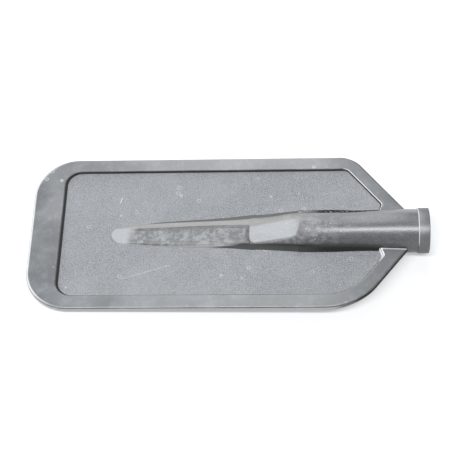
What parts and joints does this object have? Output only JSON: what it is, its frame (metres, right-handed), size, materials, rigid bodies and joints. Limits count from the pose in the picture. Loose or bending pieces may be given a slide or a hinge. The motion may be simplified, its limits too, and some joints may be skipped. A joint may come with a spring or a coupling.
{
  "type": "paddle blade with shaft socket",
  "caption": "Flat rectangular paddle blade with a raised edge rim, a grained web and a round socket that tapers into a dished spine down the middle.",
  "frame": {"origin": "centre of the socket's mouth, on the shaft's axis", "axes": "+X out of the socket's mouth along the shaft, +Z out of the front face, +Y towards the tighter of the two shoulders"},
  "size_m": [0.368, 0.16, 0.0416],
  "materials": {
    "rim_plastic": "smooth satin dark grey moulded plastic with light scuffs",
    "web_plastic": "dark grey moulded plastic with a fine leather grain",
    "socket_plastic": "semi-gloss near-black moulded plastic with scuffs along the tube",
    "collar_plastic": "semi-gloss near-black moulded plastic",
    "bead_plastic": "black bead with a ragged pale edge"
  },
  "bodies": {
    "root": {"rim_front": "rim_plastic", "rim_back": "rim_plastic", "web_panel": "web_plastic", "spine_front": "socket_plastic", "spine_back": "socket_plastic", "socket_tube": "socket_plastic", "mouth_collar": "collar_plastic", "root_beads": "bead_plastic"}
  },
  "joints": []
}
